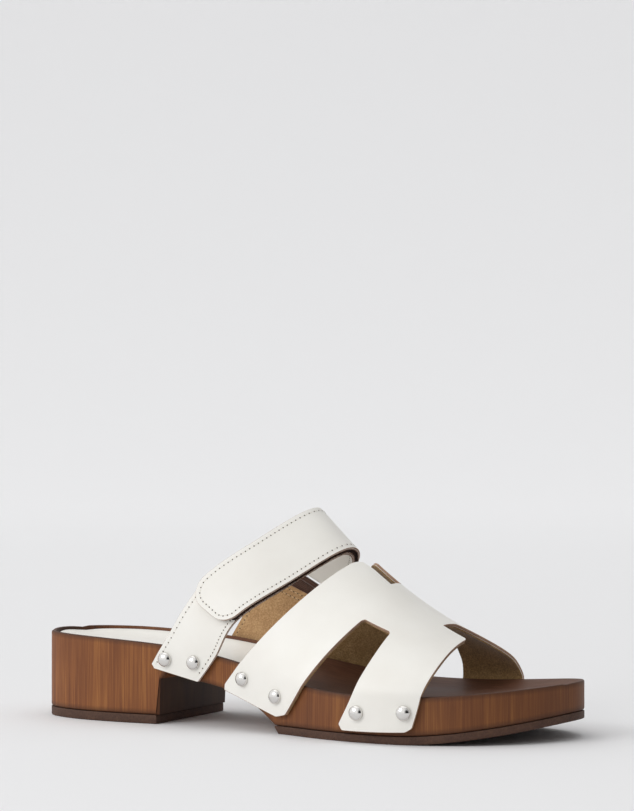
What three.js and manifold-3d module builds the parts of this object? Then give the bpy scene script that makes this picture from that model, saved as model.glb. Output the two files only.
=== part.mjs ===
// Right-foot wooden-soled sandal: a carved block sole with rubber treads, a cut-out leather vamp nailed to the
// sole's sides, and an instep strap that runs through a ring and folds back on itself under touch fastener.
// Millimetres. X runs to the toe, +Y is the inner side of the foot, Z is up from the ground.
import * as THREE from "three";
import { TessellateModifier } from "three/addons/modifiers/TessellateModifier.js";
import { mergeVertices } from "three/addons/utils/BufferGeometryUtils.js";
import Module from "manifold-3d";

const wasm = await Module();
wasm.setup();

// ---------- driving dimensions ----------
const heelCentre = 31; // the part's origin, forward of the last's own zero near the back of the heel
const soleOutline = [
  [-3.9, 0], [3.6, -18], [20.6, -26.5], [42, -29], [70, -28], [100, -28.5], [130.5, -34.5], [155, -42],
  [178, -45], [200, -43], [222, -34.2], [240, -18.1], [249.5, 0], [250.7, 13], [244.5, 27], [231, 37.6],
  [210, 43], [188, 44.1], [165, 42.2], [140.5, 36.8], [115, 31.5], [90, 30], [65, 31.3], [42, 31.7],
  [20, 28.9], [3.3, 18.2],
]; // plan of the sole, X and Y
const rimHeight = [
  [-4, 38.6], [40, 37.1], [80, 34], [115, 27.8], [150, 21.2], [185, 19.5], [220, 21.3], [253, 24.7],
]; // X and Z
const underside = [[72, 22.3], [90, 19.3], [105, 15.9], [118, 10.5], [130, 2.2]]; // shank, X and Z
const toeSpring = [[130, 0], [165, 0], [200, 0.3], [228, 3.7], [253, 8.8]]; // ground face of the front tread
const heelBreast = 66.4; // X of the heel's flat front face
const heelTread = 4; // rubber under the heel
const frontTread = 3.4; // rubber under the forepart
const treadStart = 128; // X where the front tread begins
const glue = 0.2; // gap between bonded layers
const dishDepth = 3; // hollow of the footbed below its rim
const dishMargin = 14; // width over which the footbed rolls down from the rim

// Half sock of leather, let into the footbed; it is shrunk a little so that it clears the recess all round.
const sock = { margin: 2.6, front: 118, recess: 2.2, stand: 0.3, leather: 1.1, shrinkX: 0.995, shrinkY: 0.99 };

const stud = { head: 3.25, crown: 2.3, shank: 1, length: 10, clearance: 0.2, stand: 0.3, vampStand: 0.45 };

// Vamp: sections fan from the throat (v = 0) to the toe edge (v = 1); u runs from the outer rim (-1) over the
// crest (0) to the inner rim (1), and past the rims the legs follow the sole's sides downward.
const vamp = {
  length: 92, // flat size of v
  halfGirth: 75, // flat size of u
  rimOuter: [110.5, 92.4], // rim X at the throat, and its gain over the length
  rimInner: [108, 102],
  crest: { x: [152.1, 52.6], y: [7.35, -4.4], z: [74.6, -34.6], sag: 10.9 },
  fullnessOuter: [0.47, 0.49], // how far the wall rises straight, and how flat the top is
  fullnessInner: [0.49, 0.64],
  stand: 2.6, // outer face of the leather off the sole's side
  leather: 1.1,
  lining: 0.6,
};
const vampOuterEdge = [
  // outer half, from the rear notch round to the front notch: v, and u (or mm below the rim after a leg mark)
  ["u", 0.265, -0.06], ["u", 0.1, -0.075], ["u", 0.03, -0.11], ["u", 0, -0.17],
  ["u", -0.015, -0.6], ["u", -0.01, -1],
  ["leg", -0.005, 9], ["leg", 0.015, 11.3], ["leg", 0.335, 14.9], ["leg", 0.375, 13.1],
  ["u", 0.378, -1], ["u", 0.378, -0.45], ["u", 0.39, -0.43], ["u", 0.575, -0.405], ["u", 0.59, -0.42],
  ["u", 0.63, -0.623], ["u", 0.648, -0.76], ["u", 0.667, -1],
  ["leg", 0.662, 12.2], ["leg", 0.69, 14.7], ["leg", 0.955, 14.4], ["leg", 0.978, 12.8],
  ["u", 1, -1], ["u", 1.016, -0.71], ["u", 1.013, -0.48], ["u", 0.99, -0.245], ["u", 0.968, -0.06],
  ["u", 0.95, -0.035], ["u", 0.755, -0.05],
];
const vampInnerEdge = [
  // inner half, from the front notch back to the rear notch
  ["u", 0.755, 0.13], ["u", 0.79, 0.18], ["u", 0.87, 0.31], ["u", 0.95, 0.45], ["u", 1, 0.62], ["u", 1, 1],
  ["leg", 0.978, 12.8], ["leg", 0.955, 14.4], ["leg", 0.745, 14.7], ["leg", 0.72, 12.2],
  ["u", 0.71, 1], ["u", 0.685, 0.8], ["u", 0.65, 0.67], ["u", 0.61, 0.44], ["u", 0.595, 0.42],
  ["u", 0.435, 0.43], ["u", 0.42, 0.45], ["u", 0.42, 1],
  ["leg", 0.418, 13.1], ["leg", 0.38, 14.9], ["leg", 0.015, 11.3], ["leg", -0.005, 9],
  ["u", -0.01, 1], ["u", -0.01, 0.5], ["u", 0.02, 0.19], ["u", 0.055, 0.135], ["u", 0.265, 0.12],
];

// Instep strap: the middle line and the rear-to-front width of its foot-side face, from the outer side of the
// sole over the instep to the inner side.
const strapRoute = [
  { at: [75.7, -29.1, 22.6], across: [24.6, 0, -5.5] },
  { at: [83, -28.9, 32.9], across: [27.1, -0.1, -3.7] },
  { at: [96.4, -25.2, 54.6], across: [19.9, -4.3, -15] },
  { at: [117.1, -12.9, 71.3], across: [17.6, -3.6, -18.1] },
  { at: [132.5, 4.9, 83.5], across: [18.5, -2.1, -17.2] },
  { at: [125.2, 23.5, 76.3], across: [17.1, 5.1, -17.6] },
  { at: [102.7, 34.7, 62.3], across: [20.8, 8, -12.9] },
  { at: [81.5, 31.3, 33.2], across: [25, -1.2, -3.3] },
  { at: [75.2, 31.6, 22.6], across: [23.6, 0, -5.5] },
];
const strap = {
  width: 25,
  ringBar: 0.7254, // shares of the route, from its outer end: the bar the strap folds round
  foldAt: 0.7284, // end of the strap's first run
  flapStart: 0.7205, // where the folded-back run leaves the fold
  tabStitch: 0.778, // where the inner strap's leather stops on the elastic
  flapEnd: 0.166, // rounded end of the folded-back run
  flapRound: 8.5,
  tapeEnd: 0.1875,
  tapeStart: 0.6875,
  tapeWidth: 0.9, // share of the strap's width
};
const lift = {
  // each layer's two faces, off the strap's foot-side face, and whether its grid is mirrored
  lining: [0, 0.6],
  outer: [0.8, 1.4, true],
  loop: [1.6, 2.2],
  hook: [2.45, 3.05, true],
  under: [3.2, 3.65],
  flap: [3.85, 4.4, true],
  innerOuter: [2.4, 3.1],
  bar: 2.3,
  elastic: 1.5,
};
const stations = 48; // facets along the whole route, shared by all its layers
const ring = {
  wire: 1.5, inside: 26.4, pitch: 4.7, corner: 2, play: 0.1, elastic: 0.5, width: 22.5, tail: 10,
};

const white = { color: 0xf1efe9, roughness: 0.55, metalness: 0 };
const suede = { color: 0x6b4a30, roughness: 0.95, metalness: 0 };
const tan = { color: 0xb98d5f, roughness: 0.95, metalness: 0 };
const brownTape = { color: 0x4a2d1e, roughness: 1, metalness: 0 };
const wood = { color: 0x7a4a2b, roughness: 0.6, metalness: 0 };
const rubber = { color: 0x4a2f24, roughness: 0.85, metalness: 0 };
const steel = { color: 0xd9d9d9, roughness: 0.2, metalness: 1 };

// ---------- helpers ----------
const shoe = new THREE.Group();
shoe.position.x = -heelCentre;

function add(name, geometry, look) {
  const mesh = new THREE.Mesh(geometry, new THREE.MeshStandardMaterial(look));
  mesh.name = name;
  shoe.add(mesh);
  return mesh;
}

function solid(geometry) {
  const bare = geometry.clone();
  bare.deleteAttribute("normal");
  bare.deleteAttribute("uv");
  const merged = mergeVertices(bare, 1e-3);
  return new wasm.Manifold(
    new wasm.Mesh({
      numProp: 3,
      vertProperties: merged.attributes.position.array,
      triVerts: new Uint32Array(merged.index.array),
    }),
  );
}

function toGeometry(body) {
  const mesh = body.getMesh();
  const geometry = new THREE.BufferGeometry();
  geometry.setAttribute("position", new THREE.BufferAttribute(mesh.vertProperties, 3));
  geometry.setIndex(new THREE.BufferAttribute(mesh.triVerts, 1));
  geometry.computeVertexNormals();
  return geometry;
}

const lerp = THREE.MathUtils.lerp;

// Height of a line through [x, z] points.
function along(table, x) {
  const next = table.findIndex((p) => p[0] > x);
  if (next === 0) return table[0][1];
  if (next < 0) return table[table.length - 1][1];
  const [a, b] = [table[next - 1], table[next]];
  return lerp(a[1], b[1], (x - a[0]) / (b[0] - a[0]));
}

function smooth(table) {
  const curve = new THREE.SplineCurve(table.map(([x, z]) => new THREE.Vector2(x, z)));
  return curve.getPoints(table.length * 4).map((p) => [p.x, p.y]);
}

// Bends a flat geometry: every vertex goes through place(x, y, z).
function bend(geometry, place) {
  const p = geometry.attributes.position;
  const q = new THREE.Vector3();
  for (let i = 0; i < p.count; i++) {
    place(q, p.getX(i), p.getY(i), p.getZ(i));
    p.setXYZ(i, q.x, q.y, q.z);
  }
  return geometry;
}

// A flat board on a grid. Its two faces split their squares along opposite diagonals, so a layer that lies on
// another is mirrored, and the faces that meet are then split alike.
function gridBoard(across, long, mirrored) {
  const board = new THREE.BoxGeometry(1, 1, 1, across, long, 1);
  if (!mirrored) return board;
  board.scale(-1, 1, 1);
  const index = board.index.array;
  for (let i = 0; i < index.length; i += 3) [index[i], index[i + 1]] = [index[i + 1], index[i]];
  return board;
}

function flat(shape, thickness, edge) {
  const plate = new THREE.ExtrudeGeometry(shape, { depth: thickness, bevelEnabled: false, curveSegments: 6 });
  plate.deleteAttribute("normal");
  plate.deleteAttribute("uv");
  return new TessellateModifier(edge, 12).modify(plate);
}

// ---------- sole ----------
const planCurve = new THREE.CatmullRomCurve3(
  soleOutline.map(([x, y]) => new THREE.Vector3(x, y, 0)),
  true,
  "catmullrom",
);
const plan = planCurve.getPoints(78).slice(0, -1);
const rim = smooth(rimHeight);

// Point and outward normal of the sole's side at x; side is -1 outer, 1 inner.
function wall(x, side) {
  const half = plan.filter((p) => p.y * side > 0).sort((a, b) => a.x - b.x);
  const k = THREE.MathUtils.clamp(half.findIndex((p) => p.x > x), 1, half.length - 1);
  const [a, b] = [half[k - 1], half[k]];
  const y = lerp(a.y, b.y, (x - a.x) / (b.x - a.x));
  const normal = new THREE.Vector3(-(b.y - a.y) * side, (b.x - a.x) * side, 0).normalize();
  return { y, normal };
}

function planShape(margin, front) {
  const points = plan.map((p, i) => {
    const [a, b] = [plan[(i + plan.length - 1) % plan.length], plan[(i + 1) % plan.length]];
    const out = new THREE.Vector2(b.y - a.y, a.x - b.x).normalize();
    return new THREE.Vector2(p.x - out.x * margin, p.y - out.y * margin);
  });
  return new THREE.Shape(front === undefined ? points : points.filter((p) => p.x < front));
}

// Height of the footbed: the rim's height, hollowed away from the edge.
function footbed(x, y) {
  const side = y < 0 ? -1 : 1;
  const toEdge = Math.abs(wall(THREE.MathUtils.clamp(x, 2, 248), side).y - y);
  const ends = Math.min(x + 4, 252 - x);
  const depth = THREE.MathUtils.smoothstep(Math.min(toEdge, ends), 0, dishMargin);
  return along(rim, x) - dishDepth * depth;
}

// A layer over the rear footbed, low above or below it, drawn in towards its middle.
function bedLayer(thickness, low, shrinkX, shrinkY) {
  const middle = sock.front / 2;
  return bend(flat(planShape(sock.margin, sock.front), 1, 17), (q, x, y, z) =>
    q.set(middle + (x - middle) * shrinkX, y * shrinkY, footbed(x, y) + low + z * thickness));
}

// A prism across the shoe with a side profile of [x, z] points.
function sideProfile(points) {
  const shape = new THREE.Shape(points.map(([x, z]) => new THREE.Vector2(x, z)));
  const prism = new THREE.ExtrudeGeometry(shape, { depth: 140, bevelEnabled: false });
  prism.rotateX(Math.PI / 2).translate(0, 70, 0);
  return solid(prism);
}

const blank = bend(flat(planShape(0), 1, 17), (q, x, y, z) => q.set(x, y, z * footbed(x, y)));
const blockHeight = 50;
const walls = solid(new THREE.ExtrudeGeometry(planShape(0), { depth: blockHeight, bevelEnabled: false }));
const spring = smooth(toeSpring);
const shank = smooth(underside);
const treadTop = spring.map(([x, z]) => [x, z + frontTread]);
const [behind, ahead] = [-20, 300]; // X clear of both ends of the sole

const underCut = sideProfile([
  [behind, -5], [behind, heelTread + glue], [heelBreast, heelTread + glue],
  [heelBreast, 20], [heelBreast + 2.6, 23],
  ...shank.slice(0, -1), [treadStart, frontTread + glue],
  ...treadTop.map(([x, z]) => [x, z + glue]), [ahead, 14], [ahead, -5],
]);
const recess = bedLayer(blockHeight, -sock.recess, 1, 1);
let soleBody = solid(blank).subtract(underCut).subtract(solid(recess));

add("heel_top_piece", toGeometry(walls.intersect(sideProfile([
  [behind, 0], [heelBreast, 0], [heelBreast, heelTread], [behind, heelTread],
]))), rubber);

add("front_tread", toGeometry(walls.intersect(sideProfile([
  [treadStart, frontTread], ...spring, [ahead, 18], [ahead, 18 + frontTread],
  ...treadTop.slice().reverse(),
]))), rubber);

add("insole_sock", bedLayer(sock.leather, sock.stand - sock.recess, sock.shrinkX, sock.shrinkY), white);

// ---------- vamp ----------
function vampFace(v, y) {
  const u = y / vamp.halfGirth;
  const side = u < 0 ? -1 : 1;
  const rimLine = side < 0 ? vamp.rimOuter : vamp.rimInner;
  const [rise, top] = side < 0 ? vamp.fullnessOuter : vamp.fullnessInner;
  const x = rimLine[0] + rimLine[1] * v;
  const start = new THREE.Vector3(x, wall(x, side).y + side * vamp.stand, along(rim, x));
  const { crest } = vamp;
  const end = new THREE.Vector3(
    crest.x[0] + crest.x[1] * v,
    crest.y[0] + crest.y[1] * v,
    crest.z[0] + crest.z[1] * v - crest.sag * v * (1 - v),
  );
  const lean = new THREE.Vector3(end.x - start.x, 0, end.z - start.z);
  const below = Math.abs(y) - vamp.halfGirth;
  if (below > 0) {
    const low = x - (below * lean.x) / lean.z;
    return new THREE.Vector3(low, wall(low, side).y + side * vamp.stand, start.z - below);
  }
  const first = start.clone().addScaledVector(lean, rise);
  const second = end.clone().add(new THREE.Vector3(0, (start.y - end.y) * top, 0));
  return new THREE.CubicBezierCurve3(start, first, second, end).getPoint(1 - Math.abs(u));
}

// A point of the vamp, in from its outer face.
function vampPoint(q, x, y, inward) {
  const v = x / vamp.length;
  const d = 0.4;
  const p = vampFace(v, y);
  const dv = vampFace(v + 0.01, y).sub(vampFace(v - 0.01, y));
  const du = vampFace(v, y + d).sub(vampFace(v, y - d));
  const normal = du.cross(dv).normalize();
  q.copy(p).addScaledVector(normal, inward);
}

const sheet = { low: -0.06, high: 1.08, side: vamp.halfGirth + 18, stepsAlong: 8, stepsRound: 30 };

// A whole bent sheet between two depths below the outer face.
function vampSheet(outer, inner, mirrored) {
  const board = gridBoard(sheet.stepsAlong, sheet.stepsRound, mirrored);
  return solid(bend(board, (q, x, y, z) => {
    const v = lerp(sheet.low, sheet.high, x + 0.5);
    vampPoint(q, v * vamp.length, y * 2 * sheet.side, lerp(inner, outer, z + 0.5));
  }));
}

// Everything outside the pattern's outline, bent the same way.
function vampOffcut() {
  const mark = (side) => ([kind, v, w]) =>
    new THREE.Vector2(v * vamp.length, kind === "u" ? w * vamp.halfGirth : side * (vamp.halfGirth + w));
  const past = 6;
  const [x0, x1, h] = [sheet.low * vamp.length - past, sheet.high * vamp.length + past, sheet.side + past];
  const shape = new THREE.Shape([[x0, -h], [x1, -h], [x1, h], [x0, h]].map((p) => new THREE.Vector2(...p)));
  shape.holes.push(new THREE.Path([...vampOuterEdge.map(mark(-1)), ...vampInnerEdge.map(mark(1))]));
  return solid(bend(flat(shape, 1, 12), (q, x, y, z) => vampPoint(q, x, y, lerp(4, -2, z))));
}
const offcut = vampOffcut();
let vampLeather = vampSheet(0, vamp.leather, false).subtract(offcut);
let vampLining = vampSheet(vamp.leather + glue, vamp.leather + glue + vamp.lining, true).subtract(offcut);

// ---------- instep strap ----------
const edgeCurve = (share) =>
  new THREE.CatmullRomCurve3(
    strapRoute.map(({ at, across }) =>
      new THREE.Vector3(...at).addScaledVector(new THREE.Vector3(...across), share),
    ),
    false,
    "catmullrom",
  );
const rearEdge = edgeCurve(-0.5);
const frontEdge = edgeCurve(0.5);
const middle = edgeCurve(0);
middle.arcLengthDivisions = 400;
const strapLength = middle.getLength();

function strapFace(a, w) {
  const t = middle.getUtoTmapping(THREE.MathUtils.clamp(a, 0, 1));
  return rearEdge.getPoint(t).lerp(frontEdge.getPoint(t), w + 0.5);
}

// A point of the strap: a is its share of the route, w runs -0.5 to 0.5 from rear to front, out is off the
// foot-side face.
function strapPoint(q, a, w, out) {
  const p = strapFace(a, w);
  const da = strapFace(a + 0.004, w).sub(strapFace(a - 0.004, w));
  const dw = strapFace(a, w + 0.05).sub(strapFace(a, w - 0.05));
  q.copy(p).addScaledVector(da.cross(dw).normalize(), -out);
}

// A leather or tape between two shares of the route and two lifts off the foot-side face; it starts at the end
// whose corners are rounded, and may run either way.
function band(from, to, width, [inner, outer, mirrored], round = 1) {
  const corner = 4;
  const way = Math.sign(to - from);
  const places = [];
  for (let i = 0; i < corner; i++) {
    const angle = (i / corner) * (Math.PI / 2);
    const run = (round * (1 - Math.cos(angle))) / strapLength;
    places.push({ a: from + way * run, trim: round * (1 - Math.sin(angle)) });
  }
  const straight = from + (way * round) / strapLength;
  places.push({ a: straight, trim: 0 });
  for (let i = 1; i < stations; i++) {
    const a = way > 0 ? i / stations : 1 - i / stations;
    if ((a - straight) * way > 0.004 && (to - a) * way > 0.004) places.push({ a, trim: 0 });
  }
  places.push({ a: to, trim: 0 });
  const board = gridBoard(places.length - 1, 2, mirrored);
  return bend(board, (q, x, y, z) => {
    const { a, trim } = places[Math.round((x + 0.5) * (places.length - 1))];
    const share = way > 0 ? 0.5 - z : z + 0.5;
    strapPoint(q, a, y * (width - (2 * trim) / strap.width), lerp(inner, outer, share));
  });
}

let strapLining = solid(band(0, strap.foldAt, 1, lift.lining, 2));
let strapOuter = solid(band(0, strap.foldAt, 1, lift.outer, 2));
let innerLining = solid(band(1, strap.tabStitch, 1, lift.lining, 2));
let innerOuter = solid(band(1, strap.tabStitch, 1, lift.innerOuter, 2));
add("loop_tape", band(strap.tapeEnd, strap.tapeStart, strap.tapeWidth, lift.loop, 3), brownTape);
add("hook_tape", band(strap.tapeEnd, strap.tapeStart, strap.tapeWidth, lift.hook, 3), brownTape);
add("flap_underside", band(strap.flapEnd, strap.flapStart, 1, lift.under, strap.flapRound), white);
add("flap_face", band(strap.flapEnd, strap.flapStart, 1, lift.flap, strap.flapRound), white);

// ---------- ring and its elastic ----------
const strapBar = new THREE.Vector3();
const elasticBar = new THREE.Vector3();
strapPoint(strapBar, strap.ringBar, 0, lift.bar);
strapPoint(elasticBar, strap.ringBar + ring.pitch / strapLength, 0, lift.elastic);
const acrossRing = strapFace(strap.ringBar, 0.5).sub(strapFace(strap.ringBar, -0.5)).normalize();
const downRing = elasticBar.clone().sub(strapBar);
downRing.addScaledVector(acrossRing, -downRing.dot(acrossRing)).normalize();
const outRing = new THREE.Vector3().crossVectors(acrossRing, downRing).normalize();
const ringFrame = new THREE.Matrix4()
  .makeBasis(acrossRing, downRing, outRing)
  .setPosition(strapBar.clone().addScaledVector(downRing, ring.pitch / 2));

// Rounded rectangle of wire, bent from a torus.
const torus = new THREE.TorusGeometry(10, ring.wire / 2, 8, 32);
const [longHalf, shortHalf] = [ring.inside / 2 + ring.wire / 2 - ring.corner, ring.pitch / 2 - ring.corner];
add("strap_ring", bend(torus, (q, x, y, z) => {
  const angle = Math.atan2(y, x);
  const reach = Math.hypot(x, y) - 10 + ring.corner;
  const [c, sn] = [Math.cos(angle), Math.sin(angle)];
  const [side, end] = [Math.sign(Math.round(c * 1e6)), Math.sign(Math.round(sn * 1e6))];
  q.set(side * longHalf + c * reach, end * shortHalf + sn * reach, z).applyMatrix4(ringFrame);
}), steel);

// The elastic: a folded band, round over the ring's lower bar, its tail between the inner strap's two leathers.
const eyeRadius = ring.wire / 2 + ring.play;
const loopRadius = eyeRadius + ring.elastic;
const tailHalf = ring.elastic + 0.1;
const neck = Math.sqrt(loopRadius ** 2 - tailHalf ** 2);
const foldShape = new THREE.Shape();
const foldEnd = Math.atan2(tailHalf, neck);
foldShape.absarc(0, 0, loopRadius, foldEnd, 2 * Math.PI - foldEnd, false);
foldShape.lineTo(ring.tail, -tailHalf).lineTo(ring.tail, tailHalf).closePath();
foldShape.holes.push(new THREE.Path().absarc(0, 0, eyeRadius, 0, Math.PI * 2, true));
const elastic = new THREE.ExtrudeGeometry(foldShape, { depth: 1, bevelEnabled: false, curveSegments: 8 });
const onStrap = new THREE.Vector3();
add("elastic_tab", bend(elastic, (q, x, y, z) => {
  const w = (z - 0.5) * ring.width;
  const share = strap.ringBar + (ring.pitch + x) / strapLength;
  strapPoint(onStrap, share, w / strap.width, lift.elastic + y);
  q.copy(strapBar).addScaledVector(downRing, ring.pitch + x);
  q.addScaledVector(outRing, y).addScaledVector(acrossRing, w);
  q.lerp(onStrap, THREE.MathUtils.smoothstep(x, loopRadius, ring.tail - 4));
}), brownTape);

// ---------- studs ----------
const vampStuds = [
  // name, side, X and Z on the sole's side
  ["outer_vamp_1", -1, 112.1, 22.5], ["outer_vamp_2", -1, 130.9, 16.3],
  ["outer_vamp_3", -1, 174.5, 12.6], ["outer_vamp_4", -1, 195.3, 13.6],
  ["inner_vamp_1", 1, 109, 22.5], ["inner_vamp_2", 1, 132, 15.8],
  ["inner_vamp_3", 1, 182, 12.6], ["inner_vamp_4", 1, 201.5, 13.8],
];
const strapStuds = [
  // name, share of the route, place across it, and lift of the leather's outer face
  ["outer_strap_rear", 0.034, -0.31, lift.outer[1]], ["outer_strap_front", 0.04, 0.2, lift.outer[1]],
  ["inner_strap_rear", 0.966, -0.31, lift.innerOuter[1]], ["inner_strap_front", 0.96, 0.2, lift.innerOuter[1]],
];
const seats = vampStuds.map(([name, side, x, z]) => {
  const { y, normal } = wall(x, side);
  const seat = new THREE.Vector3(x, y, z).addScaledVector(normal, vamp.stand + stud.vampStand);
  return { name, seat, normal };
});
for (const [name, a, w, face] of strapStuds) {
  const [seat, above] = [new THREE.Vector3(), new THREE.Vector3()];
  strapPoint(seat, a, w, face + stud.stand);
  strapPoint(above, a, w, face + stud.stand + 1);
  seats.push({ name, seat, normal: above.sub(seat).normalize() });
}
const dome = [];
for (let i = 0; i <= 5; i++) {
  const angle = (i / 5) * (Math.PI / 2);
  dome.push(new THREE.Vector2(stud.head * Math.cos(angle), stud.crown * Math.sin(angle)));
}
dome[5].x = 0;
const nailTip = 2;
const nailProfile = [
  new THREE.Vector2(0, -stud.length), new THREE.Vector2(stud.shank, nailTip - stud.length),
  new THREE.Vector2(stud.shank, 0), ...dome,
];
const nail = new THREE.LatheGeometry(nailProfile, 10);
const hole = new THREE.CylinderGeometry(
  stud.shank + stud.clearance, stud.shank + stud.clearance, stud.length + 6, 12,
).translate(0, 2.7 - stud.length / 2, 0);
for (const { name, seat, normal } of seats) {
  const turn = new THREE.Quaternion().setFromUnitVectors(new THREE.Vector3(0, 1, 0), normal);
  const place = new THREE.Matrix4().compose(seat, turn, new THREE.Vector3(1, 1, 1));
  add(`stud_${name}`, nail.clone().applyMatrix4(place), steel);
  const drill = solid(hole.clone().applyMatrix4(place));
  soleBody = soleBody.subtract(drill);
  vampLeather = vampLeather.subtract(drill);
  vampLining = vampLining.subtract(drill);
  strapLining = strapLining.subtract(drill);
  strapOuter = strapOuter.subtract(drill);
  innerLining = innerLining.subtract(drill);
  innerOuter = innerOuter.subtract(drill);
}

add("wooden_sole", toGeometry(soleBody), wood);
add("vamp_leather", toGeometry(vampLeather), white);
add("vamp_lining", toGeometry(vampLining), suede);
add("strap_outer", toGeometry(strapOuter), white);
add("strap_lining", toGeometry(strapLining), white);
add("inner_strap_lining", toGeometry(innerLining), tan);
add("inner_strap_outer", toGeometry(innerOuter), white);

export default shoe;
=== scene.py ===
import math
import random

import bmesh
import bpy
import numpy as np
from mathutils import Matrix, Vector


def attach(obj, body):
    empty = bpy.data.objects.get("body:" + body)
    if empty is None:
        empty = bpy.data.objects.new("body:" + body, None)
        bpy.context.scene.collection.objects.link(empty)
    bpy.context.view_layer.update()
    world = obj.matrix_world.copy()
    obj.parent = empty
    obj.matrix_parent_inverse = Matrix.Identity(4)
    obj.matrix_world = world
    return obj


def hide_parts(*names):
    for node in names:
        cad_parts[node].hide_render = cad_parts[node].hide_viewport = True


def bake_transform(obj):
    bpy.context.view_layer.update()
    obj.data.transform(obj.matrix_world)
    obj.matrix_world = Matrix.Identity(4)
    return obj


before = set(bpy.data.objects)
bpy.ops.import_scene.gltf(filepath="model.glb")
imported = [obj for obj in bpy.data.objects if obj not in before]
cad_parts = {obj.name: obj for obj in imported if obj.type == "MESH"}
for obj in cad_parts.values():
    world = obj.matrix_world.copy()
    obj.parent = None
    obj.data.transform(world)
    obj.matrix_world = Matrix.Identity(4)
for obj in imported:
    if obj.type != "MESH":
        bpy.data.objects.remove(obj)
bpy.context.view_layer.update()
random.seed(38)

# Right-foot clog sandal. Shapes are worked out in millimetres on the shoe's last, whose zero is near the back of
# the heel, and are put in the part's frame, in metres, at the end.
heelCentre = 31.0


def toFrame(p):
    return Vector(((p[0] - heelCentre) * 0.001, p[1] * 0.001, p[2] * 0.001))


# ---- camera, floor and light ----
view = {
    "eye": (0.640854, -1.014090, 0.134477),
    "forward": (-0.470828, 0.882209, 0.005260),
    "lens": 116.24,
    "floorColour": "#E8E8E9",
    "skyLeft": 0.98,  # sky strength on the toe's far side and on the near left of the shoe
    "skyRight": 0.5,
    "flagToward": (0.84, -0.53, 0.10),  # a black flag that the studs and the ring mirror
    "flagSpread": (0.80, 0.93),
    "backdropGlow": 0.205,
    "sweepStart": 2.2,  # metres behind the shoe where the floor begins to curve up
    "sweepRadius": 1.6,
}


def hexColour(code):
    channels = [int(code[i:i + 2], 16) / 255 for i in (1, 3, 5)]
    linear = [c / 12.92 if c <= 0.04045 else ((c + 0.055) / 1.055) ** 2.4 for c in channels]
    return (*linear, 1.0)


def addNode(tree, kind, settings=None, links=None):
    node = tree.nodes.new(kind)
    for key, value in (settings or {}).items():
        if isinstance(key, int) or key in node.inputs:
            node.inputs[key].default_value = value
        else:
            setattr(node, key, value)
    for key, source in (links or {}).items():
        tree.links.new(source, node.inputs[key])
    return node


def newMaterial(name, **settings):
    material = bpy.data.materials.new(name)
    material.use_nodes = True
    tree = material.node_tree
    shader = tree.nodes["Principled BSDF"]
    for key, value in settings.items():
        shader.inputs[key.replace("_", " ")].default_value = value
    return material, tree, shader


def ramp(tree, source, stops):
    node = addNode(tree, "ShaderNodeValToRGB", None, {"Fac": source})
    elements = node.color_ramp.elements
    while len(elements) < len(stops):
        elements.new(0.5)
    for element, (at, code) in zip(elements, stops):
        element.position = at
        element.color = hexColour(code)
    return node.outputs["Color"]


def bump(tree, shader, height, distance, strength=1.0):
    node = addNode(tree, "ShaderNodeBump", {"Distance": distance, "Strength": strength}, {"Height": height})
    tree.links.new(node.outputs["Normal"], shader.inputs["Normal"])
    return node


def lightAt(name, at, target, size, power):
    light = bpy.data.lights.new(name, "AREA")
    light.shape = "RECTANGLE"
    light.size, light.size_y = size
    light.energy = power
    lamp = bpy.data.objects.new(name, light)
    bpy.context.scene.collection.objects.link(lamp)
    lamp.location = at
    lamp.rotation_euler = (Vector(target) - Vector(at)).to_track_quat("-Z", "Y").to_euler()


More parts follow.
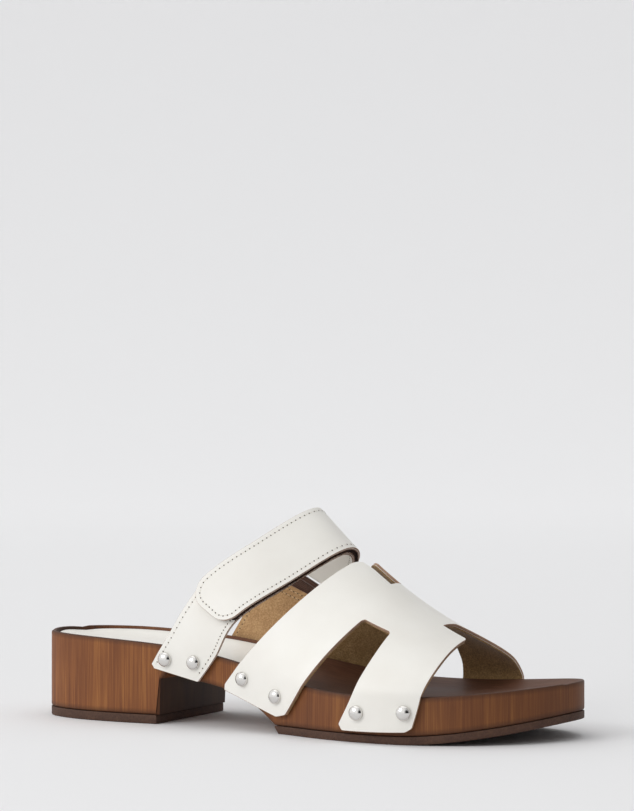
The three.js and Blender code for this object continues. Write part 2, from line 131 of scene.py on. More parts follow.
def setStage():
    scene = bpy.context.scene
    scene.view_settings.view_transform = "Standard"
    camera = bpy.data.cameras.new("camera")
    camera.lens = view["lens"]
    camera.sensor_width = 36
    camera.clip_end = 50
    eye = bpy.data.objects.new("camera", camera)
    scene.collection.objects.link(eye)
    eye.location = view["eye"]
    eye.rotation_euler = Vector(view["forward"]).to_track_quat("-Z", "Y").to_euler()
    scene.camera = eye

    world = bpy.data.worlds.new("studio")
    world.use_nodes = True
    background = world.node_tree.nodes["Background"]
    background.inputs["Color"].default_value = hexColour("#FFFFFF")
    tree = world.node_tree
    compass = addNode(tree, "ShaderNodeTexCoord").outputs["Generated"]
    rightward = Vector(view["forward"]).cross((0, 0, 1)).normalized()
    share = addNode(tree, "ShaderNodeVectorMath", {"operation": "DOT_PRODUCT", 1: rightward}, {0: compass})
    strength = addNode(tree, "ShaderNodeMapRange", {"interpolation_type": "SMOOTHSTEP", "From Min": -0.25,
                                                    "From Max": 0.6, "To Min": view["skyLeft"],
                                                    "To Max": view["skyRight"]}, {"Value": share.outputs["Value"]})
    flagAxis = Vector(view["flagToward"]).normalized()
    nearFlag = addNode(tree, "ShaderNodeVectorMath", {"operation": "DOT_PRODUCT", 1: flagAxis}, {0: compass})
    low, high = view["flagSpread"]
    unflagged = addNode(tree, "ShaderNodeMapRange", {"From Min": low, "From Max": high, "To Min": 1.0,
                                                     "To Max": 0.05}, {"Value": nearFlag.outputs["Value"]})
    sky = addNode(tree, "ShaderNodeMath", {"operation": "MULTIPLY"},
                  {0: strength.outputs["Result"], 1: unflagged.outputs["Result"]})
    tree.links.new(sky.outputs["Value"], background.inputs["Strength"])
    scene.world = world

    paper, tree, shader = newMaterial("paperSweep", Roughness=0.95)
    shader.inputs["Base Color"].default_value = hexColour(view["floorColour"])
    shader.inputs["Emission Color"].default_value = hexColour(view["floorColour"])
    place = addNode(tree, "ShaderNodeTexCoord").outputs["Object"]
    spot = addNode(tree, "ShaderNodeSeparateXYZ", None, {"Vector": place})
    glow = addNode(tree, "ShaderNodeMapRange", {"From Min": 0.1, "From Max": 2.4, "To Min": 0.0,
                                                "To Max": view["backdropGlow"]}, {"Value": spot.outputs["Y"]})
    tree.links.new(glow.outputs["Result"], shader.inputs["Emission Strength"])
    bm = bmesh.new()
    bmesh.ops.create_grid(bm, x_segments=4, y_segments=60, size=5)
    start, radius = view["sweepStart"], view["sweepRadius"]
    for v in bm.verts:
        beyond = v.co.y - start
        if beyond > 0:
            angle = min(beyond / radius, math.pi / 2)
            rise = max(beyond - radius * math.pi / 2, 0)
            v.co.y = start + radius * math.sin(angle)
            v.co.z = radius * (1 - math.cos(angle)) + rise * 3
    mesh = bpy.data.meshes.new("floor")
    bm.to_mesh(mesh)
    bm.free()
    mesh.shade_smooth()
    mesh.materials.append(paper)
    floor = bpy.data.objects.new("floor", mesh)
    scene.collection.objects.link(floor)
    turn = math.atan2(view["forward"][0], view["forward"][1])
    floor.matrix_world = Matrix.Rotation(-turn, 4, "Z")
    lightAt("keySoftbox", (-0.8, -1.7, 1.2), (0.08, 0, 0.03), (1.2, 1.0), 13)
    lightAt("topSoftbox", (0.0, 0.3, 2.0), (0.09, 0, 0.0), (2.2, 1.6), 5)


setStage()
print("stage set")


# ---- curves and the last ----
def cubic(a, b, c, d, f):
    # Catmull-Rom between b and c, at share f
    m0, m1 = (c - a) * 0.5, (d - b) * 0.5
    return b + m0 * f + (b * -3 + c * 3 - m0 * 2 - m1) * f ** 2 + (b * 2 - c * 2 + m0 + m1) * f ** 3


def catmullRom(points, t, closed=False):
    count = len(points)
    place = (count if closed else count - 1) * t
    i = int(math.floor(place))
    f = place - i
    if not closed and i >= count - 1:
        i, f = count - 2, 1.0
    if closed:
        a, b, c, d = (points[(i + k) % count] for k in (-1, 0, 1, 2))
    else:
        b, c = points[i], points[i + 1]
        a = points[i - 1] if i > 0 else b * 2 - c
        d = points[i + 2] if i + 2 < count else c * 2 - b
    return cubic(a, b, c, d, f)


last = {
    "outline": [
        (-3.9, 0), (3.6, -18), (20.6, -26.5), (42, -29), (70, -28), (100, -28.5), (130.5, -34.5), (155, -42),
        (178, -45), (200, -43), (222, -34.2), (240, -18.1), (249.5, 0), (250.7, 13), (244.5, 27), (231, 37.6),
        (210, 43), (188, 44.1), (165, 42.2), (140.5, 36.8), (115, 31.5), (90, 30), (65, 31.3), (42, 31.7),
        (20, 28.9), (3.3, 18.2),
    ],
    "rim": [(-4, 38.6), (40, 37.1), (80, 34), (115, 27.8), (150, 21.2), (185, 19.5), (220, 21.3), (253, 24.7)],
    "shank": [(72, 22.3), (90, 19.3), (105, 15.9), (118, 10.5), (130, 2.2)],
    "spring": [(130, 0), (165, 0), (200, 0.3), (228, 3.7), (253, 8.8)],
    "ball": 130,  # where the forepart meets the ground
    "breast": 66.4,
    "breastRound": 0.5,
    "heelTread": 4.0,
    "frontTread": 3.4,
    "joint": 0.2,  # dark line between wood and rubber
    "dish": 3.0,
    "dishMargin": 14.0,
    "points": 312,
}


def smoothTable(table):
    points = [Vector(p) for p in [table[0], *table, table[-1]]]
    found = []
    steps = 8 * (len(table) - 1)
    for k in range(steps + 1):
        t = k / steps * (len(table) - 1)
        i = min(int(t), len(table) - 2)
        found.append(tuple(cubic(*points[i:i + 4], t - i)))
    return np.array(found)


outlineCurve = [Vector(p) for p in last["outline"]]
plan = [catmullRom(outlineCurve, k / last["points"], True) for k in range(last["points"])]
for side in (-1, 1):  # the heel breast falls on a row of points
    for target in (last["breast"], last["breast"] + last["breastRound"]):
        free = [p for p in plan if p.y * side > 0 and p.x != last["breast"]]
        min(free, key=lambda p: abs(p.x - target)).x = target
rimTable = smoothTable(last["rim"])
shankTable = smoothTable(last["shank"])
springTable = smoothTable(last["spring"])
sides = {}
for side in (-1, 1):
    half = sorted((p.x, p.y) for p in plan if p.y * side > 0)
    sides[side] = np.array(half)


def wallY(x, side):
    return float(np.interp(x, sides[side][:, 0], sides[side][:, 1]))


def wallNormal(x, side):
    slope = (wallY(x + 1.5, side) - wallY(x - 1.5, side)) / 3
    return Vector((-slope * side, side, 0)).normalized()


def rimZ(x):
    return float(np.interp(x, rimTable[:, 0], rimTable[:, 1]))


def smoothStep(value, low, high):
    t = min(max((value - low) / (high - low), 0.0), 1.0)
    return t * t * (3 - 2 * t)


def footbed(x, y):
    side = -1 if y < 0 else 1
    toEdge = abs(wallY(min(max(x, 2), 248), side) - y)
    ends = min(x + 4, 252 - x)
    return rimZ(x) - last["dish"] * smoothStep(min(toEdge, ends), 0, last["dishMargin"])


def springZ(x):
    return float(np.interp(x, springTable[:, 0], springTable[:, 1]))


breast = last["breast"]
overHeelTread = last["heelTread"] + last["joint"]
overFrontTread = last["frontTread"] + last["joint"]
breastTop = [(breast + last["breastRound"], 20), (breast + 2.6, 23)]
underTable = np.array([(-20, overHeelTread), (breast, overHeelTread), *breastTop, *shankTable[:-1],
                       (127, overFrontTread), (last["ball"], overFrontTread)])


def underSole(x, y):
    if x < last["ball"]:
        return float(np.interp(x, underTable[:, 0], underTable[:, 1]))
    return springZ(x) + overFrontTread


# ---- sheets and slabs ----
def densify(points, step):
    found = []
    for a, b in zip(points, points[1:] + points[:1]):
        parts = max(1, math.ceil((b - a).length / step))
        found += [a.lerp(b, k / parts) for k in range(parts)]
    return found


def roundCorners(points, corner, curveTurn=32, steps=5):
    # gentle turns become one flowing curve, real corners get a small radius
    found = []
    count = len(points)
    for i, p in enumerate(points):
        a, b = points[i - 1] - p, points[(i + 1) % count] - p
        turn = 180 - math.degrees(a.angle(b))
        room = 0.49 * min(a.length, b.length)
        cut = room if turn < curveTurn else min(corner, room)
        start, end = p + a.normalized() * cut, p + b.normalized() * cut
        for k in range(steps + 1):
            t = k / steps
            found.append(start * (1 - t) ** 2 + p * 2 * t * (1 - t) + end * t ** 2)
    return found


def cutGrid(bm, faces, axis, places):
    # cuts these flat faces along lines across one axis; returns all that they became
    for place in places:
        spans = [f for f in faces if min(v.co[axis] for v in f.verts) < place < max(v.co[axis] for v in f.verts)]
        if not spans:
            continue
        kept = [f for f in faces if f not in set(spans)]
        geometry = {*spans, *(e for f in spans for e in f.edges), *(v for f in spans for v in f.verts)}
        point, normal = [0, 0, 0], [0, 0, 0]
        point[axis], normal[axis] = place, 1
        result = bmesh.ops.bisect_plane(bm, geom=list(geometry), dist=1e-5, plane_co=point, plane_no=normal)
        faces = kept + [g for g in result["geom"] if isinstance(g, bmesh.types.BMFace)]
    return faces


def slab(outline, thickness, edge, cutsX, cutsY, segments=2, rimMaterial=0, insets=(), rows=()):
    # a flat board with eased edges, its two faces cut into a grid so that it can be bent; insets are steps in from
    # the edge of the upper face, rows are heights at which the walls are cut
    bm = bmesh.new()
    caps = [bm.faces.new([bm.verts.new((p.x, p.y, z)) for p in outline]) for z in (0, thickness)]
    caps[0].normal_flip()
    borders = [e for f in caps for e in f.edges]
    bmesh.ops.bridge_loops(bm, edges=borders)
    for f in bm.faces:
        f.material_index = 0 if f in caps else rimMaterial
    if edge > 0:
        bmesh.ops.bevel(bm, geom=[e for e in borders if e.is_valid], offset=edge, offset_type="OFFSET",
                        segments=segments, profile=0.5, affect="EDGES", clamp_overlap=False, material=-1)
    for height in rows:
        bmesh.ops.bisect_plane(bm, geom=bm.faces[:] + bm.edges[:] + bm.verts[:], dist=1e-5,
                               plane_co=(0, 0, height), plane_no=(0, 0, 1))
    for step in insets:
        upper = max((f for f in bm.faces if all(abs(v.co.z - thickness) < 1e-4 for v in f.verts)),
                    key=lambda f: f.calc_area())
        bmesh.ops.inset_region(bm, faces=[upper], thickness=step, use_even_offset=True)
    for z in (0, thickness):
        level = [f for f in bm.faces if all(abs(v.co.z - z) < 1e-4 for v in f.verts)]
        for axis, places in ((0, cutsX), (1, cutsY)):
            level = cutGrid(bm, level, axis, places)
    pattern = bm.loops.layers.uv.new("pattern")
    for f in bm.faces:
        for loop in f.loops:
            loop[pattern].uv = (loop.vert.co.x * 0.001, loop.vert.co.y * 0.001)
    return bm


def bend(bm, place):
    for v in bm.verts:
        v.co = toFrame(place(v.co.x, v.co.y, v.co.z))
    return bm


def steps(low, high, step):
    return list(np.arange(low, high, step))


def makePiece(name, bm, materials, nodes=(), body="shoe", sharp=38):
    bmesh.ops.recalc_face_normals(bm, faces=bm.faces[:])
    mesh = bpy.data.meshes.new(name)
    bm.to_mesh(mesh)
    bm.free()
    for material in materials:
        mesh.materials.append(material)
    mesh.shade_smooth()
    mesh.set_sharp_from_angle(angle=math.radians(sharp))
    obj = bpy.data.objects.new(name, mesh)
    bpy.context.scene.collection.objects.link(obj)
    if body:
        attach(obj, body)
    if nodes:
        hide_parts(*nodes)
    return obj


# ---- materials ----
def stainedBeech():
    # beech stained walnut brown and waxed: fine upright streaks down the sides, a toe darkened as painted shade, a
    # heel breast painted near-black as painted shade, a footbed with close dark grain, and stain with painted shade
    # gathered along the edges and in the sock's recess
    material, tree, shader = newMaterial("stainedBeech", Roughness=0.6, Specular_IOR_Level=0.3)
    coords = addNode(tree, "ShaderNodeTexCoord").outputs["Object"]
    normal = addNode(tree, "ShaderNodeNewGeometry").outputs["Normal"]
    facing = addNode(tree, "ShaderNodeSeparateXYZ", None, {"Vector": normal})
    place = addNode(tree, "ShaderNodeSeparateXYZ", None, {"Vector": coords})

    def noise(scale, detail):
        stretched = addNode(tree, "ShaderNodeMapping", {"Scale": scale}, {"Vector": coords})
        return addNode(tree, "ShaderNodeTexNoise", {"Scale": 1.0, "Detail": detail, "Roughness": 0.55},
                       {"Vector": stretched.outputs["Vector"]}).outputs["Fac"]

    def blendIn(factor, share, rest):
        return addNode(tree, "ShaderNodeMix", {"data_type": "FLOAT", 0: share}, {2: rest, 3: factor}).outputs[0]

    streak = noise((1500, 1500, 30), 4.0)
    sideTone = blendIn(noise((30, 30, 22), 2.0), 0.35, blendIn(noise((260, 260, 12), 2.0), 0.3, streak))
    side = ramp(tree, sideTone, [(0.36, "#65391F"), (0.46, "#774626"), (0.54, "#86522B"), (0.66, "#A06A38")])
    top = ramp(tree, noise((90, 1100, 300), 4.0), [(0.3, "#4B2D20"), (0.5, "#5C3A2A"), (0.72, "#6B4735")])
    level = addNode(tree, "ShaderNodeMapRange", {"From Min": 0.35, "From Max": 0.8}, {"Value": facing.outputs["Z"]})
    body = addNode(tree, "ShaderNodeMix", {"data_type": "RGBA"}, {0: level.outputs["Result"], 6: side, 7: top})
    # painted shade: on the heel, faces turned towards the shank (the heel breast) are mixed towards near-black
    breastward = addNode(tree, "ShaderNodeMapRange", {"From Min": 0.55, "From Max": 0.9, "To Max": 0.85},
                         {"Value": facing.outputs["X"]})
    heelOnly = addNode(tree, "ShaderNodeMath", {"operation": "LESS_THAN", 1: 0.06}, {0: place.outputs["X"]})
    shade = addNode(tree, "ShaderNodeMath", {"operation": "MULTIPLY"},
                    {0: breastward.outputs["Result"], 1: heelOnly.outputs["Value"]})
    breastShaded = addNode(tree, "ShaderNodeMix", {"data_type": "RGBA", 7: hexColour("#2B1B12")},
                   {0: shade.outputs["Value"], 6: body.outputs[2]})
    # painted shade: the colour darkens along the sole towards the toe
    toeward = addNode(tree, "ShaderNodeMapRange", {"From Min": 0.03, "From Max": 0.215, "To Max": 0.42},
                      {"Value": place.outputs["X"]})
    toeShaded = addNode(tree, "ShaderNodeMix", {"data_type": "RGBA", 7: hexColour("#52331E")},
                       {0: toeward.outputs["Result"], 6: breastShaded.outputs[2]})
    # stain and painted shade: darker along the sole's top and bottom edges, and painted shade over the sock's recess
    gathered = addNode(tree, "ShaderNodeAttribute", {"attribute_name": "edgeStainAndShade"}).outputs["Fac"]
    edge = addNode(tree, "ShaderNodeMath", {"operation": "MULTIPLY", 1: 0.75}, {0: gathered})
    darkening = addNode(tree, "ShaderNodeMix", {"data_type": "RGBA", 7: hexColour("#3A2216")},
                      {0: edge.outputs["Value"], 6: toeShaded.outputs[2]})
    tree.links.new(darkening.outputs[2], shader.inputs["Base Color"])
    bump(tree, shader, streak, 0.00006, 0.35)
    return material


def speckled(name, colours, grainMm, depthMm, roughness, **settings):
    # a matt surface whose colour and nap vary over one grain size
    material, tree, shader = newMaterial(name, Roughness=roughness, **settings)
    coords = addNode(tree, "ShaderNodeTexCoord").outputs["Object"]
    fine = addNode(tree, "ShaderNodeTexNoise", {"Scale": 1000 / grainMm, "Detail": 4.0, "Roughness": 0.65},
                   {"Vector": coords})
    broad = addNode(tree, "ShaderNodeTexNoise", {"Scale": 90 / grainMm, "Detail": 2.0}, {"Vector": coords})
    mixed = addNode(tree, "ShaderNodeMath", {"operation": "MULTIPLY_ADD", 1: 0.4},
                    {0: broad.outputs["Fac"], 2: fine.outputs["Fac"]})
    colour = ramp(tree, mixed.outputs["Value"], [(0.5, colours[0]), (0.7, colours[1]), (0.92, colours[2])])
    tree.links.new(colour, shader.inputs["Base Color"])
    bump(tree, shader, fine.outputs["Fac"], depthMm * 0.001, 0.6)
    return material


def coatedLeather():
    # smooth pigment-coated cow leather, pressed with a very fine grain and softly shining
    material, tree, shader = newMaterial("coatedLeather", Coat_Weight=0.05, Coat_Roughness=0.35)
    coords = addNode(tree, "ShaderNodeTexCoord").outputs["Object"]
    cells = addNode(tree, "ShaderNodeTexVoronoi", {"Scale": 1500.0}, {"Vector": coords})
    creases = addNode(tree, "ShaderNodeTexNoise", {"Scale": 420.0, "Detail": 5.0, "Roughness": 0.6},
                      {"Vector": coords})
    tone = addNode(tree, "ShaderNodeTexNoise", {"Scale": 38.0, "Detail": 3.0}, {"Vector": coords})
    colour = ramp(tree, tone.outputs["Fac"], [(0.3, "#E9E6DF"), (0.7, "#EFEDE7")])
    tree.links.new(colour, shader.inputs["Base Color"])
    height = addNode(tree, "ShaderNodeMath", {"operation": "MULTIPLY_ADD", 1: 0.35},
                     {0: cells.outputs["Distance"], 2: creases.outputs["Fac"]})
    bump(tree, shader, height.outputs["Value"], 0.00010, 0.35)
    gloss = addNode(tree, "ShaderNodeMapRange", {"To Min": 0.4, "To Max": 0.54}, {"Value": creases.outputs["Fac"]})
    tree.links.new(gloss.outputs["Result"], shader.inputs["Roughness"])
    return material


def ribbedElastic():
    # woven elastic: brown cords side by side, one every 0.9 mm, crossed by a fine weft
    material, tree, shader = newMaterial("ribbedElastic", Roughness=0.8, Sheen_Weight=0.3)
    pattern = addNode(tree, "ShaderNodeUVMap", {"uv_map": "pattern"}).outputs["UV"]
    ribs = addNode(tree, "ShaderNodeTexWave", {"Scale": 390.0, "bands_direction": "X", "Distortion": 0.4},
                   {"Vector": pattern})
    weft = addNode(tree, "ShaderNodeTexWave", {"Scale": 700.0, "bands_direction": "Y", "Distortion": 0.8},
                   {"Vector": pattern})
    mixed = addNode(tree, "ShaderNodeMath", {"operation": "MULTIPLY_ADD", 1: 0.3},
                    {0: weft.outputs["Fac"], 2: ribs.outputs["Fac"]})
    colour = ramp(tree, mixed.outputs["Value"], [(0.0, "#3A2115"), (0.6, "#4C2D1E"), (1.0, "#5A3827")])
    tree.links.new(colour, shader.inputs["Base Color"])
    bump(tree, shader, mixed.outputs["Value"], 0.0002, 0.8)
    return material


def platedSteel():
    # nickel plate, polished, with faint handling marks
    material, tree, shader = newMaterial("platedSteel", Metallic=1.0, Roughness=0.14)
    shader.inputs["Base Color"].default_value = hexColour("#E2E0DD")
    coords = addNode(tree, "ShaderNodeTexCoord").outputs["Object"]
    marks = addNode(tree, "ShaderNodeTexNoise", {"Scale": 900.0, "Detail": 3.0}, {"Vector": coords})
    gloss = addNode(tree, "ShaderNodeMapRange", {"To Min": 0.08, "To Max": 0.22}, {"Value": marks.outputs["Fac"]})
    tree.links.new(gloss.outputs["Result"], shader.inputs["Roughness"])
    return material


nap = {"Sheen_Weight": 0.25, "Sheen_Roughness": 0.5}
finish = {
    "wood": stainedBeech(),
    # dull brown moulded rubber with a faint mottle
    "rubber": speckled("mouldedRubber", ("#3B2519", "#4A3023", "#593D2C"), 0.8, 0.06, 0.75),
    "white": coatedLeather(),
    # the cut edge of the leather, pinkish tan fibres under the coat
    "raw": speckled("rawLeatherEdge", ("#8A6A56", "#A88873", "#C2A48E"), 0.35, 0.1, 0.9),
    # olive brown split suede with a short, uneven nap
    "brownSuede": speckled("brownSplitSuede", ("#765A35", "#98784C", "#B79567"), 0.7, 0.12, 0.95, **nap),
    # light tan split suede with the same nap
    "tanSuede": speckled("tanSplitSuede", ("#9C7650", "#B68F63", "#CCA87C"), 0.7, 0.12, 0.95, **nap),
    # dark brown nylon tape, seen as soft dark specks
    "tape": speckled("touchTape", ("#1C110B", "#362116", "#4F3324"), 0.5, 0.3, 0.95),
    "elastic": ribbedElastic(),
    # off-white twisted sewing thread
    "thread": speckled("polyesterThread", ("#D8D2C4", "#E8E3D8", "#F2EEE6"), 0.3, 0.05, 0.7),
    # tan sewing thread that matches the lining
    "tanThread": speckled("tanThread", ("#B99A6C", "#D0B387", "#DFC79F"), 0.3, 0.05, 0.7),
    # the shaded pit that the needle leaves
    "hole": speckled("needleHole", ("#3A3128", "#5A4E42", "#6C5F50"), 0.3, 0.02, 1.0),
    "steel": platedSteel(),
}
print("materials ready")

# ---- sole ----
# the stain row is how far in from the top and bottom edges the stain and painted shade reach
sole = {"edge": 0.9, "grid": 6.0, "blank": 20.0, "rubberEdge": 0.5, "stainAndShadeRow": 2.6}
sock = {"margin": 2.6, "front": 118.0, "recess": 2.2, "gap": 0.3, "stand": 0.15, "leather": 1.2, "edge": 0.45}
planPoints = np.array([(p.x, p.y) for p in plan])


def toOutline(x, y):
    # distance to the sole's outline
    starts, ends = planPoints, np.roll(planPoints, -1, axis=0)
    runs = ends - starts
    t = np.clip((((x, y) - starts) * runs).sum(1) / (runs ** 2).sum(1), 0, 1)
    return float(np.sqrt(((starts + runs * t[:, None] - (x, y)) ** 2).sum(1)).min())


def slabSole(outline, edge, top, bottom, cutsX, cutsY, darkening=lambda x, y: 0, **more):
    blank = sole["blank"]
    bm = slab(outline, blank, edge, cutsX, cutsY, 3, **more)
    stainAndShade = bm.verts.layers.float.new("edgeStainAndShade")
    for v in bm.verts:
        x, y, z = v.co
        deep = min(z, blank - z)
        out = toOutline(x, y)
        # darker near the top and bottom edges as stain and painted shade; on the top, the darkening passed in adds
        # painted shade
        v[stainAndShade] = max(1 - min(max(deep, out) / sole["stainAndShadeRow"], 1), darkening(x, y) if z > blank / 2 else 0)
        v.co = toFrame((x, y, top(x, y) + z - blank if z > blank / 2 else bottom(x, y) + z))
    return bm


def underSock(x, y):
    return x < sock["front"] + 0.5 and toOutline(x, y) > sock["margin"] - 0.4


def recessed(x, y):
    # the footbed, let down where the sock lies
    return footbed(x, y) - sock["recess"] * underSock(x, y)


gridX = steps(-2, 251, sole["grid"])
gridY = steps(-42, 44, sole["grid"])
woodX = sorted(gridX + [breast, breast + last["breastRound"], sock["front"], sock["front"] + 1])
rimStep = 1.0
# painted shade: the footbed is darkened under the sock and in its recess
bm = slabSole(plan, sole["edge"], recessed, underSole, woodX, gridY, darkening=lambda x, y: 0.85 * underSock(x, y),
              insets=(sock["margin"] - rimStep - sole["edge"], rimStep),
              rows=(sole["stainAndShadeRow"], sole["blank"] - sole["stainAndShadeRow"]))
makePiece("woodenSole", bm, [finish["wood"]], ["wooden_sole"])

heelOutline = [p for p in plan if p.x <= breast]
heelOutline.sort(key=lambda p: math.atan2(p.y, p.x - heelCentre))
bm = slabSole(heelOutline, sole["rubberEdge"], lambda x, y: last["heelTread"], lambda x, y: 0.0, gridX, gridY)
makePiece("heelTopPiece", bm, [finish["rubber"]], ["heel_top_piece"])

tread = {"start": 128.0, "rearEdge": 2.8, "edge": 0.4, "ribPitch": 5.0, "ribCut": 1.25, "ribDepth": 0.9,
         "ribMargin": 7.0}


def treadTop(x, y):
    return last["frontTread"] + (springZ(x) if x > last["ball"] else 0)


def treadBottom(x, y):
    ball = last["ball"]
    z = float(np.interp(x, [tread["start"], ball], [tread["rearEdge"], 0])) if x < ball else springZ(x)
    side = -1 if y < 0 else 1
    inside = min(abs(wallY(x, side) - y), x - ball - 5, 246 - x)
    wave = 0.5 - 0.5 * math.cos((x - ball) / tread["ribPitch"] * 2 * math.pi)
    return z + tread["ribDepth"] * wave ** 3 * smoothStep(inside, tread["ribMargin"] - 1.5, tread["ribMargin"])


frontOutline = [p for p in plan if p.x >= tread["start"]]
bm = slabSole(frontOutline, tread["edge"], treadTop, treadBottom, steps(last["ball"], 250, tread["ribCut"]), gridY)
makePiece("frontTread", bm, [finish["rubber"]], ["front_tread"])
print("sole and treads made")


# ---- sock let into the footbed ----
def insetPlan(margin, front):
    count = len(plan)
    points = []
    for i, p in enumerate(plan):
        run = (plan[(i + 1) % count] - plan[i - 1]).normalized()
        points.append(Vector((p.x - run.y * margin, p.y + run.x * margin)))
    return [p for p in points if p.x < front]


bm = slab(insetPlan(sock["margin"] + sock["gap"], sock["front"]), sock["leather"], sock["edge"], gridX, gridY, 3)
bend(bm, lambda x, y, z: (x, y, footbed(x, y) - sock["recess"] + sock["stand"] + z))
makePiece("insoleSock", bm, [finish["white"]], ["insole_sock"])
print("sock made")

# ---- vamp ----
vamp = {
    "length": 92.0,
    "halfGirth": 75.0,
    "rimOuter": (110.5, 92.4),
    "rimInner": (108.0, 102.0),
    "crestX": (152.1, 52.6),
    "crestY": (7.35, -4.4),
    "crestZ": (74.6, -34.6),
    "crestSag": 10.9,
    "fullOuter": (0.47, 0.49),
    "fullInner": (0.49, 0.64),
    "stand": 2.6,
    "leather": 1.25,
    "lining": 0.62,
    "glue": 0.03,
    "corner": 0.7,
    "edge": 0.16,
    "grid": 3.0,
    "outerEdge": [
        ("u", 0.265, -0.06), ("u", 0.1, -0.075), ("u", 0.03, -0.11), ("u", 0, -0.17), ("u", -0.015, -0.6),
        ("u", -0.01, -1), ("leg", -0.005, 9), ("leg", 0.015, 11.3), ("leg", 0.335, 14.9), ("leg", 0.375, 13.1),
        ("u", 0.378, -1), ("u", 0.378, -0.45), ("u", 0.39, -0.43), ("u", 0.575, -0.405), ("u", 0.59, -0.42),
        ("u", 0.63, -0.623), ("u", 0.648, -0.76), ("u", 0.667, -1), ("leg", 0.662, 12.2), ("leg", 0.69, 14.7),
        ("leg", 0.955, 14.4), ("leg", 0.978, 12.8), ("u", 1, -1), ("u", 1.016, -0.71), ("u", 1.013, -0.48),
        ("u", 0.99, -0.245), ("u", 0.968, -0.06), ("u", 0.95, -0.035), ("u", 0.755, -0.05),
    ],
    "innerEdge": [
        ("u", 0.755, 0.13), ("u", 0.79, 0.18), ("u", 0.87, 0.31), ("u", 0.95, 0.45), ("u", 1, 0.62), ("u", 1, 1),
        ("leg", 0.978, 12.8), ("leg", 0.955, 14.4), ("leg", 0.745, 14.7), ("leg", 0.72, 12.2), ("u", 0.71, 1),
        ("u", 0.685, 0.8), ("u", 0.65, 0.67), ("u", 0.61, 0.44), ("u", 0.595, 0.42), ("u", 0.435, 0.43),
        ("u", 0.42, 0.45), ("u", 0.42, 1), ("leg", 0.418, 13.1), ("leg", 0.38, 14.9), ("leg", 0.015, 11.3),
        ("leg", -0.005, 9), ("u", -0.01, 1), ("u", -0.01, 0.5), ("u", 0.02, 0.19), ("u", 0.055, 0.135),
        ("u", 0.265, 0.12),
    ],
}


def vampFace(v, y):
    side = -1 if y < 0 else 1
    rim = vamp["rimOuter"] if side < 0 else vamp["rimInner"]
    rise, top = vamp["fullOuter"] if side < 0 else vamp["fullInner"]
    x = rim[0] + rim[1] * v
    start = Vector((x, wallY(x, side) + side * vamp["stand"], rimZ(x)))
    end = Vector((
        vamp["crestX"][0] + vamp["crestX"][1] * v,
        vamp["crestY"][0] + vamp["crestY"][1] * v,
        vamp["crestZ"][0] + vamp["crestZ"][1] * v - vamp["crestSag"] * v * (1 - v),
    ))
    leanX, leanZ = end.x - start.x, end.z - start.z
    below = abs(y) - vamp["halfGirth"]
    if below > 0:
        low = x - below * leanX / leanZ
        return Vector((low, wallY(low, side) + side * vamp["stand"], start.z - below))
    first = start + Vector((leanX, 0, leanZ)) * rise
    second = end + Vector((0, (start.y - end.y) * top, 0))
    t = 1 - abs(y) / vamp["halfGirth"]
    f = 1 - t
    return start * f ** 3 + first * 3 * f * f * t + second * 3 * f * t * t + end * t ** 3


def vampPoint(x, y, inward):
    v = x / vamp["length"]
    across = vampFace(v, y + 0.4) - vampFace(v, y - 0.4)
    along = vampFace(v + 0.01, y) - vampFace(v - 0.01, y)
    return vampFace(v, y) + across.cross(along).normalized() * inward


def vampPattern():
    points = []
    for side, marks in ((-1, vamp["outerEdge"]), (1, vamp["innerEdge"])):
        for kind, v, w in marks:
            y = w * vamp["halfGirth"] if kind == "u" else side * (vamp["halfGirth"] + w)
            points.append(Vector((v * vamp["length"], y)))
    return densify(roundCorners(points, vamp["corner"]), 2.5)


def vampLayer(name, depth, thickness, materials, node):
    cutsX, cutsY = steps(-5, 100, vamp["grid"]), steps(-93, 93, vamp["grid"])
    bm = slab(vampPattern(), thickness, vamp["edge"], cutsX, cutsY, 1, 1)
    bend(bm, lambda x, y, z: vampPoint(x, y, depth + thickness - z))
    return makePiece(name, bm, materials, [node])


whiteCut = [finish["white"], finish["raw"]]
vampLayer("vampLeather", 0, vamp["leather"], whiteCut, "vamp_leather")
vampLayer("vampLining", vamp["leather"] + vamp["glue"], vamp["lining"], [finish["brownSuede"]] * 2,
          "vamp_lining")
print("vamp made")

# ---- instep strap ----
strap = {
    "route": [
        ((75.7, -29.1, 22.6), (24.6, 0, -5.5)), ((83, -28.9, 32.9), (27.1, -0.1, -3.7)),
        ((96.4, -25.2, 54.6), (19.9, -4.3, -15)), ((117.1, -12.9, 71.3), (17.6, -3.6, -18.1)),
        ((132.5, 4.9, 83.5), (18.5, -2.1, -17.2)), ((125.2, 23.5, 76.3), (17.1, 5.1, -17.6)),
        ((102.7, 34.7, 62.3), (20.8, 8, -12.9)), ((81.5, 31.3, 33.2), (25, -1.2, -3.3)),
        ((75.2, 31.6, 22.6), (23.6, 0, -5.5)),
    ],
    "width": 25.0,
    "ringBar": 0.7254,
    "barLift": 2.3,
    "inside": 0.9,  # the fold's inner radius about the ring bar
    "outside": 2.3,
    "ply": 0.68,
    "flapEnd": 0.166,
    "flapRound": 8.5,
    "toe": 2.2,  # cut corners at the sole
    "flapJoin": 3.0,  # straight run past the fold that stays with it
    "bendFrom": 1.45,  # lifts over the bar, at which the fold's start and end points are found
    "bendTo": 3.0,
    "grid": 2.5,
    "edge": 0.1,
    "tabStitch": 0.778,
    "innerTop": 3.1,
    "tapeEnd": 0.1875,
    "tapeStart": 0.70,
    "tapeWidth": 24.9,
}
centres = [Vector(at) for at, across in strap["route"]]
rears = [Vector(at) - Vector(across) * 0.5 for at, across in strap["route"]]
fronts = [Vector(at) + Vector(across) * 0.5 for at, across in strap["route"]]
arc = [0.0]
previous = centres[0]
